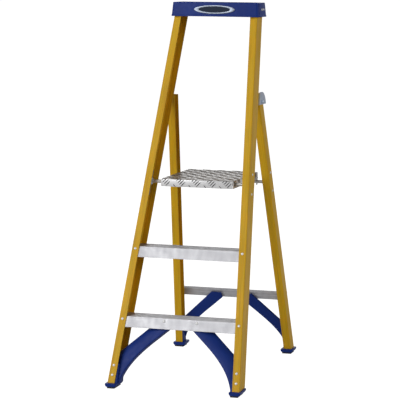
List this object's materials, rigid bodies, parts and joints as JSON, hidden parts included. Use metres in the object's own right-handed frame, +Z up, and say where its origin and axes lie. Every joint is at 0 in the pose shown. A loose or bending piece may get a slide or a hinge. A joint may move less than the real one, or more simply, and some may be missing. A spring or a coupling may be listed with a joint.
{
  "type": "platform step ladder",
  "caption": "Folding fibreglass step ladder with a treaded front frame, a braced rear frame, a lifting platform and a top tool cap.",
  "frame": {"origin": "on the floor, under the middle of the open ladder's bounding box", "axes": "+X to the climber's right, +Y the way the climber faces, from the treads to the rear legs, +Z up"},
  "size_m": [0.487, 0.846, 1.329],
  "materials": {
    "fibreglass": "pultruded glass fibre channel, yellow, satin with faint lengthwise grain",
    "blue_plastic": "moulded dark blue plastic, fine texture",
    "aluminium": "mill-finish extrusion and plate",
    "zinc_steel": "zinc-plated pressed steel",
    "rivet": "satin domed heads",
    "rubber_pad": "dark ribbed rubber",
    "badge": "plain oval badge, silver"
  },
  "bodies": {
    "front_frame": {"cap_badge": "badge", "cap_rivet_front_left": "rivet", "cap_rivet_front_right": "rivet", "cap_rivet_rear_left": "rivet", "cap_rivet_rear_right": "rivet", "front_brace_rivet_left": "rivet", "front_brace_rivet_right": "rivet", "front_foot_left": "blue_plastic", "front_foot_right": "blue_plastic", "front_pad_left": "rubber_pad", "front_pad_right": "rubber_pad", "front_rivet_foot_lower_left": "rivet", "front_rivet_foot_lower_right": "rivet", "front_rivet_foot_upper_left": "rivet", "front_rivet_foot_upper_right": "rivet", "front_rivet_tread_lower_left": "rivet", "front_rivet_tread_lower_right": "rivet", "front_rivet_tread_upper_left": "rivet", "front_rivet_tread_upper_right": "rivet", "front_rod": "zinc_steel", "front_rod_bracket_left": "zinc_steel", "front_rod_bracket_right": "zinc_steel", "front_rod_rivet_lower_left": "rivet", "front_rod_rivet_lower_right": "rivet", "front_rod_rivet_upper_left": "rivet", "front_rod_rivet_upper_right": "rivet", "front_stile_left": "fibreglass", "front_stile_right": "fibreglass", "hinge_ear_left": "zinc_steel", "hinge_ear_right": "zinc_steel", "hinge_pin_left": "zinc_steel", "hinge_pin_right": "zinc_steel", "top_cap": "blue_plastic", "tread_lower": "aluminium", "tread_upper": "aluminium"},
    "rear_frame": {"rear_brace_rivet_left": "rivet", "rear_brace_rivet_right": "rivet", "rear_foot_left": "blue_plastic", "rear_foot_right": "blue_plastic", "rear_pad_left": "rubber_pad", "rear_pad_right": "rubber_pad", "rear_rail": "aluminium", "rear_rail_rivet_left": "rivet", "rear_rail_rivet_right": "rivet", "rear_rod": "zinc_steel", "rear_rod_bracket_left": "zinc_steel", "rear_rod_bracket_right": "zinc_steel", "rear_rod_rivet_lower_left": "rivet", "rear_rod_rivet_lower_right": "rivet", "rear_rod_rivet_upper_left": "rivet", "rear_rod_rivet_upper_right": "rivet", "rear_stile_left": "fibreglass", "rear_stile_right": "fibreglass"},
    "platform": {"platform": "aluminium", "platform_bush_left": "zinc_steel", "platform_bush_right": "zinc_steel", "platform_stiffener_front": "aluminium", "platform_stiffener_rear": "aluminium"}
  },
  "joints": [
    {"name": "rear_frame_fold", "type": "hinge", "parent": "front_frame", "child": "rear_frame", "pos_m": [0, 0.083, 0.975], "axis": [-1, 0, 0], "range_deg": [0, 36]},
    {"name": "platform_lift", "type": "hinge", "parent": "front_frame", "child": "platform", "pos_m": [0, -0.105, 0.694], "axis": [1, 0, 0], "range_deg": [0, 66]}
  ],
  "couplings": [
    {"joint": "platform_lift", "follows": "rear_frame_fold", "ratio": 1.8333}
  ]
}
